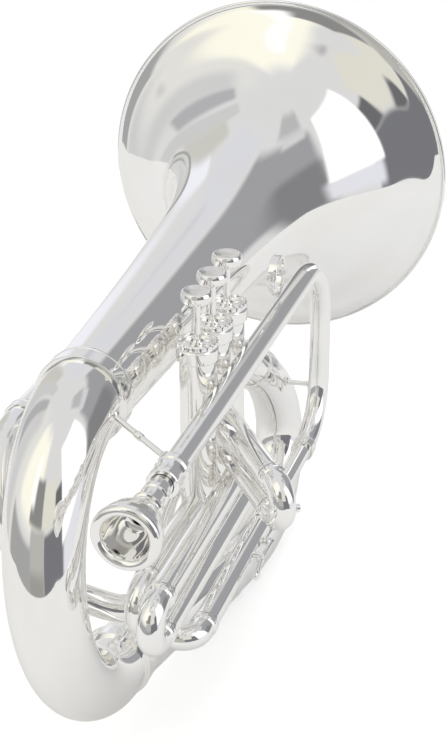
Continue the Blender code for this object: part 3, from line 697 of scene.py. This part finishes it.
def make_knuckles():
    """The short tubes between neighbouring casings."""
    for index, height in ((0, -0.085), (1, -0.060)):
        start, end = VALVE_AXES[index].copy(), VALVE_AXES[index + 1].copy()
        start.z = end.z = height
        node = f"{VALVE_NAMES[index]}_to_{VALVE_NAMES[index + 1]}_knuckle"
        work = bmesh.new()
        for axis, far in ((start, end), (end, start)):
            mouth = axis.lerp(far, CASING_RADIUS / (far - axis).length)
            sweep_into(work, [axis.lerp(far, 0.5), mouth], TUBE_RADIUS, TUBE_RADIUS - SHEET, 48, axis)
        bmesh.ops.remove_doubles(work, verts=work.verts, dist=1e-6)
        silvered(finished(f"{node}_tube", work), "horn", node)


# ---------------------------------------------------------------- mouthpiece


def make_mouthpiece():
    place = Vector((LEAD_X, MOUTHPIECE_RIM, LEAD_Z))
    crown = [math.pi * i / 14 for i in range(15)]
    bowl = [math.pi / 2 * (1 - i / 16) for i in range(16)]
    outline = (
        *((0.01608 - 0.00317 * math.cos(a), -0.0034 + 0.0034 * math.sin(a)) for a in crown),
        (0.01915, -0.0050, 0.0008),
        (0.0181, -0.0062, 0.0004), (0.0179, -0.0090, 0.003), (0.0168, -0.0140, 0.010), (0.0145, -0.0200, 0.014),
        (0.0112, -0.0260, 0.010), (0.0078, -0.0315, 0.0012), (0.0079, -0.0326, 0.0003), (0.0091, -0.0333, 0.0004),
        (0.0091, -0.0352, 0.0004), (0.0076, -0.0360, 0.0004), (0.0070, -0.0380, 0.001), (0.0068, -0.0452, 0.0004),
        (0.0078, -0.0462, 0.0005), (0.0078, -0.0494, 0.0005), (0.0068, -0.0503, 0.0004), (0.0066, -0.0600),
        (0.0056, -0.0838, 0.0002), (0.0050, -0.0840, 0.0001), (0.0034, -0.0340, 0.004),
        *((0.0034 + 0.0095 * math.cos(a) ** 0.8, -0.0034 - 0.0185 * math.sin(a)) for a in bowl),
    )
    silvered(lathe("mouthpiece_turned", outline, place, -Y_AXIS, 96), "mouthpiece", "mouthpiece")


def make_receiver():
    length = RECEIVER_BACK - RECEIVER_FRONT
    outline = (
        (0.0079, 0.0), (0.0092, 0.0, 0.0004), (0.0100, -0.0012, 0.0005), (0.0100, -0.0055, 0.0006),
        (0.0089, -0.0068, 0.0006), (0.0086, -0.0100, 0.002), (0.0086, 0.0060 + length, 0.0006),
        (0.0095, 0.0050 + length, 0.0006), (0.0095, 0.0010 + length, 0.0006), (0.0089, length, 0.0004),
        (0.0069, length), (0.0069, -0.012), (0.0079, -0.012),
    )
    place = (LEAD_X, RECEIVER_FRONT, LEAD_Z)
    silvered(lathe("mouthpiece_receiver_turned", outline, place, Y_AXIS, 80), "horn", "mouthpiece_receiver")


# ---------------------------------------------------------------- valves


def scalloped(count, depth, from_radius, top):
    """A change of shape that flutes the outer edge and lifts small petals near the hub."""

    def shape(radius, height, angle):
        wave = 0.5 + 0.5 * math.cos(count * angle)
        if height > top - 0.0030 and radius > from_radius:
            radius -= depth * (1 - wave) ** 2
        return radius, height

    return shape


def petals(radius, height, angle):
    """The dished top: twelve raised petals between the hub and the rim."""
    lift = 0.0
    if 0.0044 < radius < 0.0100:
        across = math.sin(math.pi * (radius - 0.0044) / 0.0056)
        lift = 0.0011 * across * max(0.0, math.cos(6 * angle)) ** 0.6
    return radius, height + lift


def make_top_cap(name, spot):
    """A top cap: plain band, turned groove, fluted crown, and a dished top with petals round the hub."""
    top, low = CAP_HIGH.z, CAP_LOW.z
    dish = top - 0.0030
    outline = [
        (0.0034, low + 0.0050), (0.0034, dish + 0.0019),
        (0.0040, dish + 0.0023, 0.0003), (0.0046, dish + 0.0008, 0.0004),
        *((0.0050 + 0.0050 * i / 12, dish) for i in range(13)),
        (0.0104, dish + 0.0004, 0.0003), (0.0108, top - 0.0005, 0.0003), (0.0116, top, 0.0005),
        (CAP_RADIUS - 0.0001, top - 0.0009, 0.0005), (CAP_RADIUS - 0.0001, top - 0.0032, 0.0004),
        (CAP_RADIUS - 0.0010, top - 0.0041, 0.0003), (CAP_RADIUS, top - 0.0050, 0.0004),
        (CAP_RADIUS, low + 0.0007, 0.0004), (CAP_RADIUS - 0.0006, low, 0.0002), (0.0090, low), (0.0090, low + 0.0050),
    ]
    flute = scalloped(20, 0.0007, 0.0112, top)

    def shape(radius, height, angle):
        radius, height = flute(radius, height, angle)
        if abs(height - dish) < 1e-6:
            radius, height = petals(radius, height, angle)
        return radius, height

    silvered(
        lathe(f"{name}_top_cap_turned", outline, spot, Z_AXIS, 160, shape, 45), "horn", f"{name}_valve_top_cap"
    )


def make_bottom_cap(name, spot):
    top, low = CASING_LOW.z, BOTTOM_LOW.z
    outline = (
        (0.0, low), (0.0020, low, 0.0008), (0.0030, low + 0.0018, 0.0006), (0.0100, low + 0.0022, 0.0010),
        (0.0118, low + 0.0045, 0.0008), (0.0118, top - 0.0035, 0.0003), (0.0112, top - 0.0028, 0.0002),
        (0.0118, top - 0.0020, 0.0003), (0.0118, top - 0.0008, 0.0003), (0.0110, top - 0.0003, 0.0002),
        (0.0092, top - 0.0003), (0.0092, low + 0.0052), (0.0, low + 0.0052),
    )

    def knurled(radius, height, angle):
        if radius > 0.0115 and low + 0.0040 < height < top - 0.0034:
            radius -= 0.00028 * (0.5 - 0.5 * math.cos(48 * angle))
        return radius, height

    silvered(
        lathe(f"{name}_bottom_cap_turned", outline, spot, Z_AXIS, 192, knurled), "horn", f"{name}_valve_bottom_cap"
    )


def make_button(name, spot, body):
    """A finger button: a thick disc with rounded edges, and a shallow dish that fingers have dulled."""
    low, top, edge = BUTTON_LOW.z, BUTTON_HIGH.z, BUTTON_RADIUS
    outline = (
        (0.0, low), (0.0030, low, 0.0003), (0.0074, low + 0.0002, 0.0020), (0.0090, low + 0.0012, 0.0014),
        (edge, low + 0.0030, 0.0014), (edge, top - 0.0024, 0.0012), (0.0088, top - 0.0004, 0.0010),
        (0.0078, top, 0.0008), (0.0068, top - 0.0005, 0.0008), (0.0040, top - 0.0009, 0.004), (0.0, top - 0.0010),
    )
    button = lathe(f"{name}_button_turned", outline, spot, Z_AXIS, 80)
    silvered(button, body, f"{name}_finger_button")
    button.data.materials.append(SATIN)
    face_line = at(Vector((0, 0, top - 0.0012))).z
    middle = at(spot)
    for polygon in button.data.polygons:
        if polygon.center.z > face_line and (polygon.center - middle).xy.length < 0.0072:
            polygon.material_index = 1


def make_valve(index):
    name, body = VALVE_NAMES[index], f"{VALVE_NAMES[index]}_valve"
    spot = Vector((VALVE_AXES[index].x, VALVE_AXES[index].y, 0))
    high, low, edge = CASING_HIGH.z, CASING_LOW.z, CASING_RADIUS
    casing = (
        (CASING_BORE, high), (edge, high, 0.0002), (edge, -0.0600), (edge, low, 0.0002), (CASING_BORE, low),
    )
    silvered(lathe(f"{name}_casing_turned", casing, spot, Z_AXIS, 80), "horn", f"{name}_valve_casing")
    make_top_cap(name, spot)
    make_bottom_cap(name, spot)
    foot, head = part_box(f"{name}_valve_stem")[0].z - RIM_MIDDLE.z, BUTTON_LOW.z
    stem = (
        (0.0, foot), (0.0030, foot, 0.0002), (0.0030, 0.0196, 0.0004), (0.0022, 0.0208, 0.0006),
        (0.0021, 0.0300), (0.0022, head - 0.0022, 0.0006), (0.0030, head + 0.0001), (0.0, head + 0.0001),
    )
    silvered(lathe(f"{name}_stem_turned", stem, spot, Z_AXIS, 40), body, f"{name}_valve_stem")
    felt_low, felt_high = (corner.z - RIM_MIDDLE.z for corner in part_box(f"{name}_valve_felt"))
    felt = (
        (0.0032, felt_low), (0.0032, felt_high, 0.0004), (0.0084, felt_high, 0.0008), (0.0084, felt_low, 0.0008),
    )
    dress(lathe(f"{name}_felt_washer", felt, spot, Z_AXIS, 64), FELT, "felt", body, f"{name}_valve_felt")
    make_button(name, spot, body)


def finish_hidden_nodes():
    """The pistons and springs keep their shapes from the frame, inside the casings."""
    for name in VALVE_NAMES:
        for node, material in ((f"{name}_piston", NICKEL), (f"{name}_valve_spring", STEEL)):
            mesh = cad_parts[node].data
            mesh.materials.clear()
            mesh.materials.append(material)


# ---------------------------------------------------------------- fittings


def make_brace(node, start, end, rod=0.0019, flange=0.0036):
    """A brace: a turned rod with a small bead in its middle and a dished flange at each end."""
    start, end = Vector(start), Vector(end)
    length = (end - start).length
    outline = [(0.0, 0.0), (flange, 0.0, 0.0002), (flange - 0.0002, 0.0009, 0.0003), (rod, 0.0022, 0.0010)]
    if length > 0.02:
        middle = length / 2
        outline += [
            (rod, middle - 0.0030, 0.0004), (rod + 0.0006, middle - 0.0018, 0.0006),
            (rod + 0.0006, middle + 0.0018, 0.0006), (rod, middle + 0.0030, 0.0004),
        ]
    outline += [(rod, length - 0.0022, 0.0010), (flange - 0.0002, length - 0.0009, 0.0003)]
    outline += [(flange, length, 0.0002), (0.0, length)]
    silvered(lathe(f"{node}_turned", outline, start, end - start, 40), "horn", node)


def make_finger_ring():
    """A flat band on a stepped foot, soldered to a saddle plate on the leadpipe."""
    work = bmesh.new()
    half, thick = 0.0030, 0.0011
    outer, inner = FINGER_RING_RADIUS + thick, FINGER_RING_RADIUS - thick
    outline = (
        (inner, half, 0.0004), (outer, half, 0.0006), (outer, -half, 0.0006), (inner, -half, 0.0004),
    )
    lathe_into(work, outline, FINGER_RING_CENTRE, X_AXIS, 96)
    foot_top = FINGER_RING_CENTRE.z - FINGER_RING_RADIUS
    for low, high, width, depth in ((foot_top - 0.0034, foot_top - 0.0012, 0.0046, 0.0080),
                                    (foot_top - 0.0014, foot_top + 0.0004, 0.0036, 0.0056)):
        block = bmesh.ops.create_cube(work, size=1)["verts"]
        bmesh.ops.scale(work, vec=(width, depth, high - low), verts=block)
        centre = Vector((FINGER_RING_CENTRE.x, FINGER_RING_CENTRE.y, (low + high) / 2))
        bmesh.ops.translate(work, vec=at(centre), verts=block)
        edges = list({edge for vert in block for edge in vert.link_edges})
        bmesh.ops.bevel(work, geom=edges, offset=0.0005, segments=3, affect="EDGES", profile=0.6)
    silvered(finished("finger_ring_band", work), "horn", "finger_ring")


def make_knob():
    """The pull knob that stands out sideways from the second slide's bow."""
    side = Z_AXIS.cross(SECOND_SLIDE_WAY)
    base = SECOND_SLIDE[0] + 0.002 * SECOND_SLIDE_WAY - KNOB_DROP * Z_AXIS + SLEEVE_RADIUS * side
    outline = (
        (0.0, -0.0006), (0.0024, -0.0006), (0.0022, 0.0010, 0.0004), (0.0012, 0.0016, 0.0005),
        (0.0012, 0.0030, 0.0005), (0.0024, 0.0040, 0.0006), (0.0024, 0.0058, 0.0006), (0.0014, 0.0066, 0.0005),
        (0.0, 0.0066),
    )
    knob = lathe("second_slide_knob", outline, base, side, 40)
    silvered(knob, "second_valve_slide", "second_slide_pull_knob")


def make_water_key(node, place, across, touch_at, pivot_at, drain_at):
    """A lever with a curled touch piece and a cork pad over its nipple, on a hinged saddle."""
    away = 1 if drain_at > pivot_at else -1
    half = 0.0024

    saddle = bmesh.new()
    feet = flowing([place(pivot_at + away * (i - 2) * 0.0014, 0.0004) for i in range(5)], 3)
    sweep_into(saddle, feet, 0.0018, None, 24)
    up = (place(pivot_at, 0.01) - place(pivot_at, 0)).normalized()
    for sign in (-1, 1):
        cheek = place(pivot_at, 0.0) + sign * half * across
        lathe_into(
            saddle,
            ((0.0, -0.0010), (0.0020, -0.0010), (0.0016, 0.0018, 0.0003), (0.0013, 0.0036, 0.0003),
             (0.0017, 0.0050, 0.0006), (0.0013, 0.0064, 0.0006), (0.0, 0.0064)),
            cheek, up, 24,
        )
    pin = place(pivot_at, 0.0052)
    sweep_into(saddle, straight(pin - 1.35 * half * across, pin + 1.35 * half * across, 0.001), 0.0007, None, 16)
    drain_up = (place(drain_at, 0.01) - place(drain_at, 0)).normalized()
    nipple = (
        (0.0, -0.0008), (0.0030, -0.0008), (0.0030, 0.0006, 0.0003), (0.0022, 0.0010, 0.0003),
        (0.0021, 0.0026, 0.0002), (0.0010, 0.0026), (0.0010, 0.0010), (0.0, 0.0010),
    )
    lathe_into(saddle, nipple, place(drain_at, 0.0), drain_up, 32)
    silvered(finished(f"{node}_saddle_shape", saddle), "horn", f"{node}_saddle")

    lever = bmesh.new()
    reach = [
        place(drain_at + away * 0.0022, 0.0054), place(drain_at, 0.0054), place(drain_at - away * 0.006, 0.0053),
        place(pivot_at + away * 0.004, 0.0052), place(pivot_at, 0.0052), place(pivot_at - away * 0.004, 0.0053),
        place((pivot_at + touch_at) / 2, 0.0060), place(touch_at + away * 0.003, 0.0072), place(touch_at, 0.0078),
    ]
    arm = flowing(reach, 6)
    widths = [0.0013 + 0.0007 * (abs(i - 24) / 24) ** 2 for i in range(len(arm))]
    sweep_into(lever, arm, widths, None, 20)
    lathe_into(
        lever,
        ((0.0, 0.0), (0.0030, 0.0002, 0.0008), (0.0034, 0.0013, 0.0007), (0.0024, 0.0022, 0.0008), (0.0, 0.0024)),
        place(touch_at, 0.0064), (place(touch_at, 0.01) - place(touch_at, 0)).normalized(), 32,
    )
    lathe_into(
        lever,
        ((0.0, 0.0010), (0.0026, 0.0010), (0.0026, 0.0, 0.0002), (0.0034, 0.0, 0.0003), (0.0034, 0.0020, 0.0010),
         (0.0, 0.0030)),
        place(drain_at, 0.0032), drain_up, 40,
    )
    coil = []
    for i in range(73):
        angle = 2 * math.pi * i / 12
        along = (i / 72 - 0.5) * 1.5 * half
        forward = across.cross(up)
        coil.append(pin + along * across + 0.0013 * (math.cos(angle) * up + math.sin(angle) * forward))
    sweep_into(lever, coil, 0.00028, None, 8)
    silvered(finished(f"{node}_lever", lever), node, node)

    cork = lathe(
        f"{node}_cork", ((0.0, 0.0), (0.0021, 0.0, 0.0003), (0.0023, 0.0016), (0.0, 0.0016)),
        place(drain_at, 0.0030), drain_up, 32,
    )
    dress(cork, CORK, "felt", node)


def make_water_keys():
    centre = Vector((LEAD_X, TUNING_BOW_FRONT - LOW_BEND, LOW_LEG_Z + LOW_BEND))
    outer = LOW_BEND + TUBE_RADIUS

    def round_the_bow(along, high):
        angle = along / outer
        return centre + (outer + high) * Vector((0, math.cos(angle), -math.sin(angle)))

    def beside_the_leg(along, high):
        return Vector((LEAD_X + SLEEVE_RADIUS + high, along, LOW_LEG_Z))

    make_water_key("bow_water_key", round_the_bow, X_AXIS, -0.006, 0.014, 0.034)
    make_water_key("leg_water_key", beside_the_leg, Z_AXIS, -0.352, -0.332, -0.312)


def make_fittings():
    make_brace("leadpipe_brace", (0.0640, -0.4578, -0.0070), (0.0262, -0.4348, 0.0010))
    make_brace("tuning_bow_brace", (0.0645, -0.1390, -0.1140), (0.0462, -0.1385, -0.1149))
    make_finger_ring()
    make_knob()
    make_water_keys()


# ---------------------------------------------------------------- studio


def make_camera():
    turn, tilt, roll = (math.radians(angle) for angle in (CAMERA_TURN, CAMERA_TILT, CAMERA_ROLL))
    ahead = Vector((-math.sin(turn) * math.cos(tilt), math.cos(turn) * math.cos(tilt), -math.sin(tilt)))
    level = Vector((math.cos(turn), math.sin(turn), 0))
    upright = level.cross(ahead)
    right = math.cos(roll) * level + math.sin(roll) * upright
    up = math.cos(roll) * upright - math.sin(roll) * level
    camera = bpy.data.objects.new("camera", bpy.data.cameras.new("camera"))
    camera.data.lens = CAMERA_LENS
    camera.data.sensor_width = 36
    camera.matrix_world = Matrix.Translation(at(CAMERA_PLACE)) @ Matrix((right, up, -ahead)).transposed().to_4x4()
    bpy.context.scene.collection.objects.link(camera)
    bpy.context.scene.camera = camera


def make_floor():
    """A plain white sweep under the horn."""
    work = bmesh.new()
    bmesh.ops.create_grid(work, x_segments=8, y_segments=8, size=FLOOR_REACH)
    floor = finished("floor", work)
    material, tree, shader = new_material("white_floor", 0.0, 0.8)
    shader.inputs["Specular IOR Level"].default_value = 0.0
    tint(tree, shader, noise(tree, 3, 2.0), (0.93, 0.93, 0.93), (0.95, 0.95, 0.95))
    floor.data.materials.append(material)


def glow(tone, warmth=0.0):
    """The light that silver shows as this tone, from 0 to 1, with red over blue by `warmth`."""
    channels = (tone + warmth / 3, tone + warmth / 5, tone - warmth * 2 / 3)
    return tuple(((c + 0.055) / 1.055) ** 2.4 / SILVER_SHINE for c in channels) + (1.0,)


class Sky:
    """A soft studio drawn on the world: panels with blurred edges, placed by compass turn and height.

    The turn is in degrees from the way the bell faces, growing toward the valves' side; the height is in
    degrees over the horizon. Each new panel covers what is under it."""

    def __init__(self, tree, ground):
        self.tree = tree
        place = tree.nodes.new("ShaderNodeTexCoord")
        parts = tree.nodes.new("ShaderNodeSeparateXYZ")
        tree.links.new(place.outputs["Generated"], parts.inputs["Vector"])
        turn = self.sum("ARCTAN2", parts.outputs["X"], parts.outputs["Y"])
        self.turn = self.sum("MULTIPLY", turn, math.degrees(1))
        height = self.sum("ARCSINE", parts.outputs["Z"])
        self.height = self.sum("MULTIPLY", height, math.degrees(1))
        self.colour = ground

    def sum(self, operation, *values):
        node = self.tree.nodes.new("ShaderNodeMath")
        node.operation = operation
        for socket, value in zip(node.inputs, values):
            if isinstance(value, (int, float)):
                socket.default_value = value
            else:
                self.tree.links.new(value, socket)
        return node.outputs["Value"]

    def inside(self, distance, half, blur):
        """1 where the distance is under `half`, falling smoothly to 0 over `blur`."""
        node = self.tree.nodes.new("ShaderNodeMapRange")
        node.interpolation_type = "SMOOTHSTEP"
        node.inputs["From Min"].default_value = half - blur / 2
        node.inputs["From Max"].default_value = half + blur / 2
        node.inputs["To Min"].default_value = 1.0
        node.inputs["To Max"].default_value = 0.0
        self.tree.links.new(self.sum("ABSOLUTE", distance), node.inputs["Value"])
        return node.outputs["Result"]

    def panel(self, turns, heights, light, blur, slant=0.0):
        """A panel between two turns and two heights. `slant` is how far it turns for each degree up."""
        middle, half = (turns[0] + turns[1]) / 2, (turns[1] - turns[0]) / 2
        turn = self.turn
        if slant:
            turn = self.sum("SUBTRACT", turn, self.sum("MULTIPLY", self.height, slant))
        across = self.sum("WRAP", self.sum("SUBTRACT", turn, middle), 180.0, -180.0)
        centre, reach = (heights[0] + heights[1]) / 2, (heights[1] - heights[0]) / 2
        upward = self.sum("SUBTRACT", self.height, centre)
        mask = self.sum("MULTIPLY", self.inside(across, half, blur), self.inside(upward, reach, blur))
        mix = self.tree.nodes.new("ShaderNodeMix")
        mix.data_type = "RGBA"
        self.tree.links.new(mask, mix.inputs[0])
        if isinstance(self.colour, tuple):
            mix.inputs[6].default_value = self.colour
        else:
            self.tree.links.new(self.colour, mix.inputs[6])
        mix.inputs[7].default_value = light
        self.colour = mix.outputs[2]


def make_world():
    """The studio: a white window on the valves' side between a grey wall and a dark flag, a dim corner and
    warm white walls behind the player, and pale walls on the other side."""
    world = bpy.data.worlds.new("studio")
    world.use_nodes = True
    bpy.context.scene.world = world
    tree = world.node_tree
    sky = Sky(tree, glow(0.85))
    for panel in (
        ((-182, -112), (18, 74), glow(0.965, 0.07), 16),
        ((-115, -74), (-30, 66), glow(0.87, 0.02), 22),
        ((-96, -73), (-30, 54), glow(0.80), 16),
        ((-73, -62), (2, 53), glow(0.69, -0.01), 5, -0.08),
        ((-61, -50), (-30, 54), glow(0.79), 4),
        ((-51, -40), (-2, 41), glow(0.77, 0.03), 6),
        ((-39, -32), (-22, 24), glow(0.94, -0.03), 4),
        ((-35, 4), (27, 58), glow(0.85, -0.02), 8),
        ((-16, 32), (6, 30), glow(0.60), 8),
        ((10, 68), (-4, 52), glow(0.62, -0.015), 8),
        ((40, 68), (-16, 26), glow(0.51, -0.01), 10),
        ((38, 64), (49, 57), glow(0.82, -0.01), 5),
        ((30, 62), (57, 72), glow(0.72, -0.01), 8),
        ((131, 166), (19, 45), glow(0.85, 0.05), 4),
        ((98, 158), (-24, 17), glow(0.47, -0.02), 4),
        ((108, 131), (17, 35), glow(0.42, -0.01), 4),
        ((63, 106), (-14, 2), glow(0.89, -0.03), 8, 0.1),
        ((66, 109), (1, 58), glow(1.06), 4, 0.2),
        ((158, 196), (-24, 20), glow(0.70, 0.02), 5),
        ((158, 196), (-24, -3), glow(0.60, 0.02), 10),
        ((194, 256), (-24, 9), glow(0.64), 6),
        ((166, 204), (21, 48), glow(0.54), 5),
        ((-166, -150), (30, 60), glow(1.0, 0.01), 8),
    ):
        sky.panel(*panel)
    path = tree.nodes.new("ShaderNodeLightPath")
    plain = tree.nodes.new("ShaderNodeMix")
    plain.data_type = "RGBA"
    tree.links.new(path.outputs["Is Camera Ray"], plain.inputs[0])
    tree.links.new(sky.colour, plain.inputs[6])
    plain.inputs[7].default_value = (1, 1, 1, 1)
    tree.links.new(plain.outputs[2], tree.nodes["Background"].inputs["Color"])


def make_lamps():
    """Two broad lamps overhead: one for everything, and one that only lights what is seen directly, so that
    the floor is white to the eye and a soft pale grey where the silver mirrors it."""
    for name, strength, bounces in (("overhead", LAMP_STRENGTH, 1024), ("fill", FILL_STRENGTH, 0)):
        lamp = bpy.data.objects.new(name, bpy.data.lights.new(name, "SUN"))
        lamp.data.energy = strength
        lamp.data.angle = math.radians(60)
        lamp.data.use_shadow = False
        lamp.data.cycles.max_bounces = bounces
        lamp.visible_glossy = False
        bpy.context.scene.collection.objects.link(lamp)


def deepen_reflections():
    """Light may bounce often enough to come back out of the bell's throat and from between the tubes."""
    paths = bpy.context.scene.cycles
    paths.max_bounces, paths.glossy_bounces = REFLECTIONS + 2, REFLECTIONS


def main():
    make_conical_branch()
    make_leadpipe()
    make_tuning_slide()
    make_valve_slides()
    make_knuckles()
    make_mouthpiece()
    make_receiver()
    for index in range(3):
        make_valve(index)
    finish_hidden_nodes()
    make_fittings()
    make_camera()
    make_floor()
    make_world()
    make_lamps()
    deepen_reflections()
    bpy.context.scene.view_settings.view_transform = "Standard"


main()
